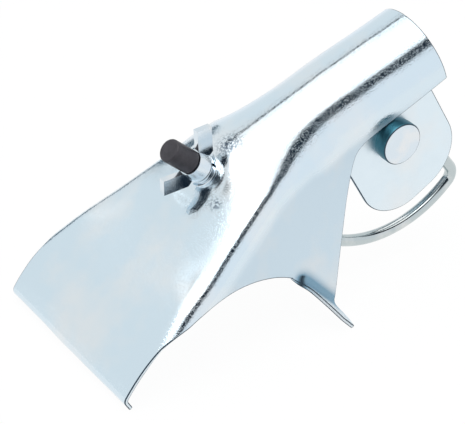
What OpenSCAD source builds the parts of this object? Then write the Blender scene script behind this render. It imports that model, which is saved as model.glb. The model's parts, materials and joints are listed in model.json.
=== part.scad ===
// Pressed-steel coupler clamp: a shroud that runs from a round arch to a flared flat tongue,
// drawn down by a wing nut, with two cheek plates, a cross pin and a hanging wire bail.
// Millimetres, +Z up, +X toward the open end of the arch. It stands on its front lip and feet.

/* [Sheet] */
// Sheet thickness
sheet = 2; // [1.5:0.1:3]
// Outside radius of the arch
arch_r = 26.2; // [22:0.1:32]
// Angle between the arch's axis and the tongue
arch_drop = 22.6; // [15:0.1:32]
// Slope of the tongue when the part stands on its lip and feet
tongue_slope = 43.5; // [35:0.5:50]

/* [Tongue] */
// From the bolt to the front bend
tongue_reach = 105; // [90:1:120]
// Half the width of the tongue at the front
tongue_half = 54; // [45:0.5:65]
// Outside radius of the front bend
lip_bend_r = 4; // [3:0.5:6]
// Angle the front lip is bent down
lip_angle = 78; // [45:1:90]
// Straight length of the front lip
lip_len = 4.5; // [3:0.5:12]
// Height of the tongue's lengthwise bow
tongue_bow = 3; // [0:0.1:5]
// Length of that bow behind the front bend
bow_len = 75; // [60:1:85]

/* [Flare] */
// From the bolt to the end of the rounded ridge at the notch
ridge_end = 60; // [50:1:70]
// Half the width over the ridges at the notch
ridge_half = 55; // [48:0.1:68]
// Corner radius of the ridge at the notch
ridge_r = 10; // [5:0.5:14]
// Station on the arch where the flare starts
flare_start = 55; // [48:1:75]
// How quickly the flare opens
flare_power = 1.13; // [1:0.01:2]
// How soon the corner reaches its tight radius
corner_fall = 2.6; // [1:0.1:4]
// Half angle of the round crown at the arch
crown_arc = 74; // [60:1:85]
// How quickly the crown flattens toward the tongue
crown_fade = 1.5; // [1:0.1:3]
// Middle of the bend between tongue and arch, from the bolt
bend_mid = 26; // [20:1:36]
// Half the length of that bend
bend_half = 10.5; // [8:0.5:20]
// From the middle of the bend to the open end of the arch
arch_len = 107; // [90:1:125]

/* [Legs] */
// Radius of the notch between tongue and leg
notch_r = 79.9; // [70:0.1:110]
// Notch centre ahead of the bolt
notch_ahead = 88.7; // [80:0.1:110]
// Notch centre below the tongue
notch_below = 78.7; // [70:0.1:100]
// Front edge of the leg, ahead of the bolt
leg_front = 12.4; // [8:0.1:20]
// Rise of the leg's rear edge per millimetre
leg_rear_rise = 0.67; // [0.5:0.01:1]
// Height of the leg's rear corner above the foot
leg_lift = 4; // [1:0.5:8]
// Outer reach of the foot flange from the middle
flange_reach = 56.5; // [50:0.5:60]
// Angle by which the foot flange is bent less than square
flange_open = 9; // [0:1:15]
// Inside radius of the flange's bend
flange_bend = 4; // [3:0.5:6]
// Start of that bend, ahead of the bolt
bend_front = 7.6; // [6:0.1:10]
// Wall below the crown of the arch at the open end
arch_wall = 29; // [27:0.1:36]
// How much more wall there is per millimetre toward the leg
arch_wall_gain = 0.068; // [0:0.002:0.15]

/* [Clamp bolt] */
// Bolt diameter
bolt_d = 10; // [8:1:12]
// Thread pitch
bolt_pitch = 1.5; // [1:0.25:1.75]
// Forward lean of the bolt from square to the tongue
bolt_lean = 6; // [0:0.5:10]
// Distance of the bolt's seat behind the tongue's datum
bolt_back = 1.8; // [-3:0.5:6]
// Radius of the pressed flat seat under the washer
seat_r = 12.5; // [10:0.5:16]
// Width over which the seat blends into the sheet
seat_blend = 9; // [5:0.5:12]
// Washer diameter
washer_d = 18; // [16:0.5:22]
// Washer thickness
washer_t = 1.6; // [1:0.1:2.5]
// Hub diameter of the wing nut
hub_d = 14; // [12:0.5:18]
// Hub height of the wing nut
hub_h = 7.2; // [6:0.1:10]
// Length of each wing
wing_len = 15.5; // [12:0.5:22]
// Width of each wing
wing_w = 8.2; // [6:0.1:11]
// Thickness of each wing
wing_t = 3.6; // [2.5:0.1:5]
// Rise of the wings from the seat
wing_rise = 46; // [35:1:65]
// Diameter of the black end cap
cap_d = 12; // [11:0.1:14]
// Length of the end cap that shows
cap_len = 16; // [12:0.5:24]
// Opening between tongue and saddle with the nut slack
jaw_gap = 14; // [12:0.5:20]
// Length of the saddle along the tongue
saddle_l = 30; // [26:1:32]
// Width of the saddle across the tongue
saddle_w = 28; // [26:1:32]
// Thickness of the saddle
saddle_t = 3; // [2:0.5:4]
// Height of the saddle's turned-up front and rear edges
saddle_rim = 3; // [2:0.5:4]

/* [Cheeks and pin] */
// Cheek plate thickness
cheek_t = 2; // [1.5:0.1:3]
// Angle by which the cheek plate is turned from square to the arch
cheek_turn = 10; // [0:1:15]
// Cheek plate length
cheek_len = 60; // [50:1:70]
// Cheek plate starts this far in from the open end
cheek_in = 10; // [6:0.5:14]
// Lower edge of the cheek plate below the arch's axis
cheek_drop = 55.5; // [50:0.5:65]
// Corner radius of the cheek plate
cheek_r = 24.5; // [8:0.5:27]
// Pin centre, in from the open end
pin_in = 38; // [30:0.5:45]
// Pin centre below the arch's axis
pin_drop = 17; // [12:0.5:24]
// Pin shank diameter
pin_d = 12; // [10:0.5:14]
// Diameter of the pin's round ends
pin_head_d = 23; // [18:0.5:26]
// How far the pin's ends stand out
pin_head_h = 8; // [6:0.5:12]
// Diameter of the neck that passes the arch's wall
pin_neck_d = 22.4; // [18:0.1:22.5]
// Length of that neck
pin_neck_h = 2.5; // [2.2:0.1:4]

/* [Bail] */
// Wire diameter
wire_d = 6.3; // [5:0.1:8]
// Distance of the bail's plane from the middle, on the -Y side
bail_y = 18.3; // [14:0.1:18.5]
// Radius of the bush the bail hangs on
bush_r = 10.5; // [8:0.1:14]
// Radius of the bail's lower side about the pin
bail_r = 62; // [55:1:75]
// Corner radius of the bail
bail_corner = 7; // [5:0.5:12]
// Half angle between the bail's corners
bail_half = 46; // [35:1:50]

/* [Hidden] */
$fn = 64;
u_end = bend_mid + arch_len;
bend_k = arch_drop * PI / 180 / (2 * bend_half);
// Front bend and lip, in tongue coordinates
lip_start = atan(6.75 * tongue_bow / bow_len);
lip_mid_c = -tongue_reach + lip_bend_r * sin(lip_start);
lip_mid_d = -lip_bend_r * cos(lip_start);
lip_c = lip_mid_c - lip_bend_r * sin(lip_angle) - lip_len * cos(lip_angle);
lip_d = lip_mid_d + lip_bend_r * cos(lip_angle) - lip_len * sin(lip_angle);
floor_z = lip_c * sin(tongue_slope) + lip_d * cos(tongue_slope);
// The leg's front edge runs down between two close stations; the flange's bend is cut in behind them
leg_edge = 0.6;
notch_end = -leg_front - leg_edge;
leg_turn = atan(half_w(-bend_front) - half_w(1 - bend_front));
flange_mid = [-bend_front, half_w(-bend_front) - 0.15] + flange_bend * [sin(leg_turn), cos(leg_turn)];
flange_out = [cos(flange_open), sin(flange_open)];
flange_run = (flange_reach - (flange_mid - flange_bend * flange_out).y) / cos(flange_open);
flange_end = flange_tip(flange_bend + sheet);
// The foot is where the flange's outer corner meets the floor
foot_d = (-floor_z + flange_end.x * sin(tongue_slope)) / cos(tongue_slope);
tilt_start = flare_start + 4;
// Open end of the arch: crown, then axis
end_c = top_c(u_end);
end_d = top_d(u_end);
axis_c = end_c - arch_r * sin(arch_drop);
axis_d = end_d - arch_r * cos(arch_drop);
pin_c = axis_c - pin_in * cos(arch_drop) - pin_drop * sin(arch_drop);
pin_z = axis_d + pin_in * sin(arch_drop) - pin_drop * cos(arch_drop);
pin_x_world = pin_c * cos(tongue_slope) - pin_z * sin(tongue_slope);
// The frame's origin is the middle of the box, on the floor
front_x = lip_mid_c * cos(tongue_slope) - lip_mid_d * sin(tongue_slope) - lip_bend_r;
bail_k = bail_r - bail_corner;
rear_x = pin_x_world + bail_k * sin(bail_half) + bail_corner + wire_d / 2;
shift_x = -(front_x + rear_x) / 2;
bail_apex = bush_r + 0.35 + wire_d / 2;
bail_turn = asin((bail_apex - bail_corner) / bail_k);
wall_in = arch_r - sheet;
// Near face of the guide washer beside the bail
guide_y = -bail_y + wire_d / 2 + 0.7;
spring_t = 2.2;
nut_z = washer_t + spring_t + 0.05;
cap_z = nut_z + hub_h + 0.4;
bolt_top = cap_z + cap_len - 1.5;
saddle_z = -sheet - 0.8 - jaw_gap;
neck_z = saddle_z - saddle_t - 2.1;
head_d = 24;
head_h = 3.4;
dome_r = 23.4;

// Crown line of the sheet by arc length u from the bolt: straight, bent, straight
function top_c(u) = u <= bend_mid - bend_half ? u
    : bend_mid - bend_half + sin(min(arch_drop, (u - bend_mid + bend_half) * bend_k * 180 / PI)) / bend_k
        + max(0, u - bend_mid - bend_half) * cos(arch_drop);
function bow(u) = let (s = clamp01((u + tongue_reach) / bow_len)) 6.75 * tongue_bow * s * pow(1 - s, 2);
function top_d(u) = u <= bend_mid - bend_half ? bow(u)
    : -(1 - cos(min(arch_drop, (u - bend_mid + bend_half) * bend_k * 180 / PI))) / bend_k
        - max(0, u - bend_mid - bend_half) * sin(arch_drop);
function clamp01(a) = max(0, min(1, a));
function lean(u) = arch_drop * clamp01((u - bend_mid + bend_half) / (2 * bend_half));
// Section planes turn from square to the tongue to square to the arch
function tilt(u) = arch_drop * clamp01((u - tilt_start) / (u_end - tilt_start));
function stretch(u) = 1 / cos(lean(u) - tilt(u));
function flare(u) = max(0, (flare_start - top_c(u)) / (flare_start + ridge_end));
function half_w(u) = arch_r + (ridge_half - arch_r) * pow(flare(u), flare_power);
// Section: a crown arc, a tighter corner arc, then the wall straight down
function corner_r(u) = arch_r - (arch_r - ridge_r) * min(1, corner_fall * flare(u));
function crown_a(u) = max(0.5, crown_arc * pow(max(0, 1 - flare(u)), crown_fade));
function crown_r(u) = (half_w(u) - corner_r(u) * (1 - sin(crown_a(u)))) / sin(crown_a(u));
function crown_len(u) = crown_r(u) * crown_a(u) * PI / 180;
function corner_len(u) = corner_r(u) * (90 - crown_a(u)) * PI / 180;
function crown_dip(u) = stretch(u) * crown_r(u) * (1 - cos(crown_a(u)));
function corner_dip(u) = stretch(u) * corner_r(u) * cos(crown_a(u));
// Depth of the sheet's edge below the crown: notch, then leg and arch wall blended
function notch_depth(u) = top_d(u) + notch_below - sqrt(notch_r * notch_r - pow(u + notch_ahead, 2));
function leg_depth(u) = top_d(u) + foot_d - leg_lift - leg_rear_rise * (top_c(u) + leg_front);
function wall_depth(u) = arch_wall + arch_wall_gain * (u_end - u);
function soft_max(a, b, w) = (a + b + sqrt((a - b) * (a - b) + w * w)) / 2;
function along(u, dn) = let (r = crown_r(u), q = corner_r(u), k = stretch(u), g = crown_a(u),
        c = crown_dip(u))
    dn < c ? r * acos(1 - dn / (k * r)) * PI / 180
    : dn < c + corner_dip(u) ? crown_len(u) + q * (acos(cos(g) - (dn - c) / (k * q)) - g) * PI / 180
    : crown_len(u) + corner_len(u) + dn - c - corner_dip(u);
function mix(a, b, t) = a + (b - a) * clamp01(t);
function edge_v(u) = u < -ridge_end
    ? mix(tongue_half, along(-ridge_end, notch_depth(-ridge_end)), 1 + (u + ridge_end) / 16)
    : u < -leg_front ? along(u, notch_depth(u))
    : along(u, min(soft_max(leg_depth(u), wall_depth(u), 8), foot_d + top_d(u)));

// Direction of the section at v, from 0 on the crown to 90 on the wall
function turn_at(u, w) = w < crown_len(u) ? w / crown_r(u) * 180 / PI
    : min(90, crown_a(u) + (w - crown_len(u)) / corner_r(u) * 180 / PI);
// The sheet near the bolt is pressed flat, square to the leaning bolt and a little below its raised seat
seat_step = 0.25;
function seat_share(c, y) = let (t = clamp01((seat_r + seat_blend - norm([c - bolt_back, y])) / seat_blend))
    t * t * (3 - 2 * t);
function pressed(c, y, d, t) = [c, y,
    d + ((c - bolt_back) * tan(bolt_lean) - seat_step - t - d) * seat_share(c, y)];
// One point of the sheet; in = 0 outside, 1 inside
function sheet_pt(u, v, in) = let (s = v < 0 ? -1 : 1, w = abs(v), t = in * sheet, k = stretch(u),
        a = crown_a(u), g = turn_at(u, w), r = crown_r(u), q = corner_r(u),
        y = g < a ? r * sin(g) : r * sin(a) + q * (sin(g) - sin(a)),
        dip = g < a ? r * (1 - cos(g)) : r * (1 - cos(a)) + q * (cos(a) - cos(g)),
        dn = k * (dip + t * cos(g)) + max(0, w - crown_len(u) - corner_len(u)))
    pressed(top_c(u) - dn * sin(tilt(u)), s * (y - t * sin(g)), top_d(u) - dn * cos(tilt(u)), t);
function lip_pt(a, l, y, in) = let (r = lip_bend_r - in * sheet)
    [lip_mid_c - r * sin(a) - l * cos(a), y, lip_mid_d + r * cos(a) - l * sin(a)];

// Points across half a section: crown, corner, wall
n_crown = 6;
n_corner = 11;
n_wall = 5;
n_half = n_crown + n_corner + n_wall;
function part_v(a, b, e, j) = j <= n_crown ? a * j / n_crown
    : j <= n_crown + n_corner ? a + (b - a) * (j - n_crown) / n_corner
    : b + (e - b) * (j - n_crown - n_corner) / n_wall;
function point_v(u, j) = let (e = edge_v(u), a = min(crown_len(u), 0.4 * e),
        b = min(crown_len(u) + corner_len(u), a + 0.7 * (e - a)))
    (j < 0 ? -1 : 1) * part_v(a, b, e, abs(j));
rows = concat([for (i = [0:5]) -tongue_reach + i * (tongue_reach - ridge_end) / 6],
    [for (i = [0:10]) -ridge_end + i * (ridge_end + notch_end) / 10],
    [for (i = [0:18]) -leg_front + leg_edge + i * (tilt_start + leg_front - leg_edge) / 18],
    [for (i = [1:6]) tilt_start + i * (u_end - tilt_start) / 6]);
function row_pts(in) = concat(
    [for (j = [-n_half:n_half]) lip_pt(lip_angle, lip_len, j / n_half * tongue_half, in)],
    [for (i = [3:-1:1], j = [-n_half:n_half])
        lip_pt(lip_start + (lip_angle - lip_start) * i / 3, 0, j / n_half * tongue_half, in)],
    [for (u = rows, j = [-n_half:n_half]) sheet_pt(u, point_v(u, j), in)]);
function quad(a, b, c, d) = [[a, b, c], [a, c, d]];

// Sheet between its outer and inner surface: two skins, two side edges, two end edges
module loft() {
    m = 2 * n_half + 1;
    n = len(rows) + 4;
    function at(i, j, in) = (in * n + i) * m + j;
    faces = concat(
        [for (i = [0:n - 2], j = [0:m - 2],
            f = quad(at(i, j, 0), at(i, j + 1, 0), at(i + 1, j + 1, 0), at(i + 1, j, 0))) f],
        [for (i = [0:n - 2], j = [0:m - 2],
            f = quad(at(i, j, 1), at(i + 1, j, 1), at(i + 1, j + 1, 1), at(i, j + 1, 1))) f],
        [for (i = [0:n - 2], f = quad(at(i, 0, 0), at(i + 1, 0, 0), at(i + 1, 0, 1), at(i, 0, 1))) f],
        [for (i = [0:n - 2],
            f = quad(at(i + 1, m - 1, 0), at(i, m - 1, 0), at(i, m - 1, 1), at(i + 1, m - 1, 1))) f],
        [for (j = [0:m - 2], f = quad(at(0, j + 1, 0), at(0, j, 0), at(0, j, 1), at(0, j + 1, 1))) f],
        [for (j = [0:m - 2],
            f = quad(at(n - 1, j, 0), at(n - 1, j + 1, 0), at(n - 1, j + 1, 1), at(n - 1, j, 1))) f]);
    polyhedron(concat(row_pts(0), row_pts(1)), faces);
}

module stand() translate([shift_x, 0, -floor_z]) rotate([0, -tongue_slope, 0]) children();
module at_bolt() stand() translate([bolt_back, 0, 0]) rotate([0, -bolt_lean, 0]) children();
module at_arch() stand() translate([axis_c, 0, axis_d]) rotate([0, arch_drop, 0]) children();
module at_pin() translate([shift_x + pin_x_world, 0, -floor_z + pin_c * sin(tongue_slope)
    + pin_z * cos(tongue_slope)]) children();
module along_y(y0, y1, r) translate([0, y0, 0]) rotate([-90, 0, 0]) cylinder(r = r, h = y1 - y0);

// Sheet bent outward from the leg, seen along the leg: the two faces of bend and flange as one outline,
// with a stub that is let into the leg's thickness
stub = 2.5 - bend_front;
function bend_face(r) = [for (i = [0:8]) let (g = mix(90 - leg_turn, flange_open, i / 8))
    flange_mid - r * [cos(g), sin(g)]];
function flange_tip(r) = flange_mid - r * flange_out + flange_run * [-sin(flange_open), cos(flange_open)];
module bend_outline() polygon(concat([[stub, half_w(stub) - 0.7]], bend_face(flange_bend),
    [flange_tip(flange_bend), flange_tip(flange_bend + sheet)],
    [for (i = [8:-1:0]) bend_face(flange_bend + sheet)[i]],
    [[stub, half_w(stub) - sheet + 0.7]]));
// The same flange seen from the front: top corner cut back, lower edge running out from the leg to the foot
module foot_outline() {
    w = half_w(-bend_front);
    top = -notch_depth(notch_end);
    low = -leg_depth(-bend_front);
    polygon([[w - 4, low + 5.6], [w - 0.1, low + 0.1], [w + 5, -foot_d], [flange_reach + 1, -foot_d],
        [flange_reach + 1, -foot_d + 14], [w + 3, top - 3], [w - 4, top - 1]]);
}
module foot_flange() intersection() {
    translate([0, 0, -foot_d - 5]) linear_extrude(foot_d) bend_outline();
    translate([-30, 0, 0]) rotate([90, 0, 90]) linear_extrude(60) foot_outline();
}
// Front of the leg, which the flange's bend takes the place of
module leg_relief() translate([-40, -70, -foot_d - 5])
    cube([40 - bend_front, 140, foot_d + 5.8 - notch_depth(notch_end)]);

module shroud() color([0.8, 0.85, 0.9]) {
    difference() {
        union() {
            stand() difference() {
                loft();
                leg_relief();
            }
            stand() foot_flange();
            stand() mirror([0, 1, 0]) foot_flange();
            at_bolt() translate([0, 0, 0.4 - sheet]) cylinder(d = washer_d + 1.8, h = sheet - 0.4);
        }
        at_bolt() cylinder(d = washer_d + 0.8, h = 5);
        at_bolt() translate([0, 0, -12]) cylinder(d = bolt_d + 1, h = 24);
    }
}

// Plate with round lower corners, turned a little from the arch and cut off below the arch's axis
module cheek(y0) at_arch() translate([0, y0, 0]) rotate([90, 0, 180]) linear_extrude(cheek_t)
    difference() {
        intersection() {
            rotate(-cheek_turn) hull() {
                for (x = [cheek_in + cheek_r, cheek_in + cheek_len - cheek_r])
                    translate([x, cheek_r - cheek_drop]) circle(cheek_r);
                translate([cheek_in, -cheek_r]) square([cheek_len, cheek_drop]);
            }
            translate([0, -2 * cheek_drop - 0.3]) square(2 * cheek_drop);
        }
        translate([pin_in, -pin_drop]) circle(d = pin_d + 0.1);
    }
module cheek_plate_near() color([0.78, 0.83, 0.88]) cheek(-wall_in);
module cheek_plate_far() color([0.78, 0.83, 0.88]) cheek(wall_in - cheek_t);

// Neck and round end of the pin with a small chamfer, from y = 0 outward along +Y
module pin_end() rotate([-90, 0, 0]) {
    cylinder(d = pin_neck_d, h = pin_neck_h);
    translate([0, 0, pin_neck_h]) cylinder(d = pin_head_d, h = pin_head_h - 1 - pin_neck_h);
    translate([0, 0, pin_head_h - 1]) cylinder(d1 = pin_head_d, d2 = pin_head_d - 2, h = 1);
}
module cross_pin() color([0.85, 0.88, 0.9]) at_pin() {
    along_y(-wall_in - 1, wall_in + 5, pin_d / 2);
    translate([0, -wall_in, 0]) mirror([0, 1, 0]) pin_end();
}
module pin_cap_far() color([0.85, 0.88, 0.9]) at_pin() difference() {
    translate([0, wall_in, 0]) pin_end();
    along_y(wall_in - 1, wall_in + 5.05, pin_d / 2 + 0.02);
}
module ring(y0, y1, r) difference() {
    along_y(y0, y1, r);
    along_y(y0 - 1, y1 + 1, pin_d / 2 + 0.05);
}
module bail_bush() color([0.7, 0.74, 0.78]) at_pin()
    ring(-wall_in + cheek_t, guide_y, bush_r);
module guide_washer() color([0.7, 0.74, 0.78]) at_pin() ring(guide_y, guide_y + 2, 15);
module spacer_far() color([0.7, 0.74, 0.78]) at_pin() ring(guide_y + 2, wall_in - cheek_t, 9);

// Wire arc about the pin's axis: a is measured from straight down toward +X
module wire_arc(cx, cz, r, a0, a1, d) translate([cx, 0, cz]) rotate([90, 0, 0]) rotate([0, 0, a0 - 90])
    rotate_extrude(angle = a1 - a0) translate([r, 0]) circle(d = d);
// One side of the bail; the straight is let a little way into the arcs at its ends
module bail_leg() {
    a = bail_half + 90 - bail_turn;
    translate([bail_apex * sin(a), 0, -bail_apex * cos(a)]) rotate([0, 180 - (a - 90), 0])
        translate([0, 0, -0.5]) cylinder(d = wire_d - 0.1, h = bail_k * cos(bail_turn) + 1);
    wire_arc(bail_k * sin(bail_half), -bail_k * cos(bail_half), bail_corner, bail_half, a, wire_d);
}
module bail() color([0.8, 0.84, 0.87]) at_pin() translate([0, -bail_y, 0]) {
    wire_arc(0, 0, bail_apex, bail_half + 90 - bail_turn, 270 - bail_half + bail_turn, wire_d);
    bail_leg();
    mirror([1, 0, 0]) bail_leg();
    wire_arc(0, 0, bail_r, -bail_half - 0.4, bail_half + 0.4, wire_d - 0.1);
}

module flat_washer() color([0.8, 0.85, 0.9]) at_bolt() difference() {
    cylinder(d = washer_d, h = washer_t);
    translate([0, 0, -1]) cylinder(d = bolt_d + 0.7, h = washer_t + 2);
}
module spring_washer() color([0.75, 0.79, 0.83]) at_bolt() translate([0, 0, washer_t]) difference() {
    cylinder(d = washer_d - 2.4, h = spring_t);
    translate([0, 0, -1]) cylinder(d = bolt_d + 0.7, h = spring_t + 2);
    rotate([0, 0, -60]) translate([4, -0.7, -1]) cube([8, 1.4, spring_t + 2]);
}
module wing() translate([hub_d / 2 - 3.2, 0, nut_z + 0.6]) rotate([0, -wing_rise, 0])
    translate([0, -wing_t / 2, -wing_w * 0.62]) cube([wing_len + 3, wing_t, wing_w]);
module wing_nut() color([0.8, 0.85, 0.9]) at_bolt() difference() {
    union() {
        translate([0, 0, nut_z]) cylinder(d1 = hub_d + 1.6, d2 = hub_d - 0.6, h = hub_h);
        intersection() {
            union() {
                wing();
                rotate([0, 0, 180]) wing();
            }
            translate([-40, -40, nut_z + 0.3]) cube([80, 80, 60]);
        }
    }
    translate([0, 0, nut_z - 1]) cylinder(d = bolt_d + 0.1, h = hub_h + 2);
    translate([0, 0, nut_z + hub_h]) cylinder(d = cap_d + 1.2, h = 60);
}
// Square hole that keeps the bolt's neck from turning
module square_hole(z, h) translate([-bolt_d / 2 - 0.1, -bolt_d / 2 - 0.1, z])
    cube([bolt_d + 0.2, bolt_d + 0.2, h]);
// Round shank, square neck and low domed head
module clamp_bolt() color([0.75, 0.79, 0.83]) at_bolt() {
    translate([0, 0, neck_z - 1]) cylinder(d = bolt_d, h = bolt_top - neck_z + 1);
    translate([-bolt_d / 2, -bolt_d / 2, neck_z - 0.5]) cube([bolt_d, bolt_d, saddle_z - neck_z]);
    translate([0, 0, neck_z - head_h - 0.1]) intersection() {
        cylinder(d = head_d, h = head_h);
        translate([0, 0, dome_r - 2.8]) sphere(r = dome_r);
    }
}
module bolt_cap() color([0.16, 0.15, 0.17]) at_bolt() difference() {
    union() {
        translate([0, 0, cap_z]) cylinder(d = cap_d, h = cap_len - 0.8);
        translate([0, 0, cap_z + cap_len - 0.8]) cylinder(d1 = cap_d, d2 = cap_d - 1.6, h = 0.8);
    }
    translate([0, 0, cap_z - 1]) cylinder(d = bolt_d + 0.04, h = bolt_top - cap_z + 1.02);
}
module clamp_saddle() color([0.7, 0.74, 0.78]) at_bolt() difference() {
    translate([0, saddle_w / 2, saddle_z - saddle_t]) rotate([90, 0, 0]) linear_extrude(saddle_w)
        polygon([[-saddle_l / 2, 0], [saddle_l / 2, 0], [saddle_l / 2, saddle_t + saddle_rim],
            [saddle_l / 2 - saddle_t, saddle_t + saddle_rim], [saddle_l / 2 - saddle_t, saddle_t],
            [-saddle_l / 2 + saddle_t, saddle_t], [-saddle_l / 2 + saddle_t, saddle_t + saddle_rim],
            [-saddle_l / 2, saddle_t + saddle_rim]]);
    square_hole(saddle_z - saddle_t - 1, saddle_t + 2);
}
module saddle_washer() color([0.7, 0.74, 0.78]) at_bolt() difference() {
    translate([0, 0, neck_z]) cylinder(d = 26, h = saddle_z - saddle_t - neck_z - 0.1);
    square_hole(neck_z - 1, saddle_t + 2);
}

shroud();
cheek_plate_near();
cheek_plate_far();
cross_pin();
pin_cap_far();
bail_bush();
guide_washer();
spacer_far();
bail();
flat_washer();
spring_washer();
wing_nut();
clamp_bolt();
bolt_cap();
clamp_saddle();
saddle_washer();
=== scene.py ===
# %% [markdown]
# # A zinc-plated coupler clamp
# The object is one steel sheet pressed from a round arch into a flared tongue, drawn down by a wing nut.
# Two cheek plates hang inside the arch, a cross pin goes through them, and a wire bail hangs on the pin.
# The imported frame gives every piece its place, so the script starts there.

# %% The frame
import json
import math
from types import SimpleNamespace

import bmesh
import bpy
import numpy as np
from mathutils import Matrix, Vector


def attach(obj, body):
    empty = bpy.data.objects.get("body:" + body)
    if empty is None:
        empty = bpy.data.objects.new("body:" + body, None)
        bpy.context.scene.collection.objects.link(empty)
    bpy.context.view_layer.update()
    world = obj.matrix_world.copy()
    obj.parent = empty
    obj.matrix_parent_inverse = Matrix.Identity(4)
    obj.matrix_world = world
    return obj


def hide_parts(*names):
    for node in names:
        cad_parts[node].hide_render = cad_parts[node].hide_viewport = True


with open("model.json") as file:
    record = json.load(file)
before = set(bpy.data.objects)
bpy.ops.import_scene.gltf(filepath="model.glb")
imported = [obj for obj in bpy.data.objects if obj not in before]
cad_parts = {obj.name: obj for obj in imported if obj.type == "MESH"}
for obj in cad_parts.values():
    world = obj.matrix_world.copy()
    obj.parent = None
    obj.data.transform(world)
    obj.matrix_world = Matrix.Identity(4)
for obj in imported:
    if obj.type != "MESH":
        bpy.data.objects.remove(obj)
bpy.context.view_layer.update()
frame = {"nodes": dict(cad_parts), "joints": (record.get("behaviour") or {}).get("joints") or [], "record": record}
joints = {j["name"]: j for j in frame["joints"]}
MM = 0.001

# %% [markdown]
# ## Where the tongue and the bolt lie
# The sheet is drawn in its own flat tongue: c runs along the tongue toward the arch, d stands square to it,
# and the bolt's seat is near c = 0. The frame knows the bolt's seat and axis from the nut's joint, so the
# tongue's place follows from those and from the slope at which the part stands.

# %% Tongue coordinates
TONGUE_SLOPE = math.radians(43.5)
BOLT_LEAN = math.radians(6)
BOLT_BACK = 1.8
bolt_seat = Vector(joints["wing_nut_turn"]["pos_m"])
bolt_axis = -Vector(joints["wing_nut_turn"]["axis"]).normalized()
along_tongue = Vector((math.cos(TONGUE_SLOPE), 0, math.sin(TONGUE_SLOPE)))
off_tongue = Vector((-math.sin(TONGUE_SLOPE), 0, math.cos(TONGUE_SLOPE)))
tongue_zero = bolt_seat - along_tongue * BOLT_BACK * MM
pin_centre = Vector(joints["bail_swing"]["pos_m"])
print("tongue's zero at", [round(v / MM, 2) for v in tongue_zero], "mm")

# %% [markdown]
# ## Camera
# The photograph was taken with a long lens from the front left and above. A camera is best set by what it
# must show: here the direction that it looks from, its distance, and the pixel where the bolt's seat has to
# fall.

# %% Camera
PHOTO_W, PHOTO_H = 465, 424
FOCAL_PIXELS = 2050
CAMERA_DISTANCE = 1.0
VIEW_AZIMUTH, VIEW_ELEVATION, VIEW_ROLL = (math.radians(a) for a in (-34.35, 31.9, 1.87))
SEAT_PIXEL = (201.75, 172.84)
SENSOR_MM = 36
NEAREST, FARTHEST = 0.01, 100


def linked(name, data):
    """New object in the scene that shows this mesh, camera or lamp."""
    obj = bpy.data.objects.new(name, data)
    bpy.context.collection.objects.link(obj)
    return obj


def add_camera():
    sin_a, cos_a = math.sin(VIEW_AZIMUTH), math.cos(VIEW_AZIMUTH)
    sin_e, cos_e = math.sin(VIEW_ELEVATION), math.cos(VIEW_ELEVATION)
    back = Vector((sin_a * cos_e, -cos_a * cos_e, sin_e))
    level = Vector((cos_a, sin_a, 0))
    right = level * math.cos(VIEW_ROLL) + back.cross(level) * math.sin(VIEW_ROLL)
    place = tongue_zero + back * CAMERA_DISTANCE
    seat_x = (SEAT_PIXEL[0] - PHOTO_W / 2) / FOCAL_PIXELS
    seat_y = (PHOTO_H / 2 - SEAT_PIXEL[1]) / FOCAL_PIXELS
    back = (back + right * seat_x + back.cross(right) * seat_y).normalized()
    right = (right - back * right.dot(back)).normalized()
    up = back.cross(right)
    data = bpy.data.cameras.new("camera")
    data.sensor_width = SENSOR_MM
    data.lens = FOCAL_PIXELS / PHOTO_W * SENSOR_MM
    data.clip_start, data.clip_end = NEAREST, FARTHEST
    camera = linked("camera", data)
    axes = Matrix((right, up, back)).transposed()
    camera.matrix_world = Matrix.Translation(place) @ axes.to_4x4()
    bpy.context.scene.camera = camera
    return camera


camera = add_camera()
print("camera at", [round(v, 3) for v in camera.location], "lens", round(camera.data.lens, 1), "mm")

# %% [markdown]
# ## Shorthand for nodes
# A node tree is built one node and one link at a time, which takes many lines. Here one call adds a node
# and feeds its inputs, each with a plain value or with another node's output, and a few calls stand for the
# nodes that the finishes use most.

# %% Node shorthand


def feed(tree, node, inputs):
    """Give each named or numbered input a plain value, or a link from a socket or a node's first output."""
    for key, value in inputs.items():
        value = getattr(value, "socket", value)
        if isinstance(value, bpy.types.Node):
            value = value.outputs[0]
        if isinstance(value, bpy.types.NodeSocket):
            tree.links.new(value, node.inputs[key])
        else:
            node.inputs[key].default_value = value


def put(tree, kind, inputs=None, **settings):
    """New node of this kind with its settings and inputs."""
    node = tree.nodes.new(kind)
    for name, value in settings.items():
        setattr(node, name, value)
    feed(tree, node, inputs or {})
    return node


def math_step(tree, step, *values):
    return put(tree, "ShaderNodeMath", dict(enumerate(values)), operation=step).outputs[0]


def spread(tree, value, low, high, bottom=0, top=1, **settings):
    """The value's way from low to high, as a number from bottom to top."""
    ends = {"Value": value, "From Min": low, "From Max": high, "To Min": bottom, "To Max": top}
    return put(tree, "ShaderNodeMapRange", ends, **settings).outputs[0]


def blend(tree, share, first, second, **settings):
    """Colour between first and second."""
    colours = {"Factor": share, 6: first, 7: second}
    return put(tree, "ShaderNodeMix", colours, data_type="RGBA", **settings).outputs[2]


def noise(tree, place, scale, detail, roughness):
    inputs = {"Vector": place, "Scale": scale, "Detail": detail, "Roughness": roughness}
    return put(tree, "ShaderNodeTexNoise", inputs).outputs["Fac"]


def ramp(tree, value, stops):
    """Colour ramp with one (position, colour) pair for each stop."""
    node = put(tree, "ShaderNodeValToRGB", {0: value})
    elements = node.color_ramp.elements
    while len(elements) < len(stops):
        elements.new(0.5)
    for element, (position, colour) in zip(elements, stops):
        element.position = position
        element.color = colour
    return node.outputs["Color"]


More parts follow.
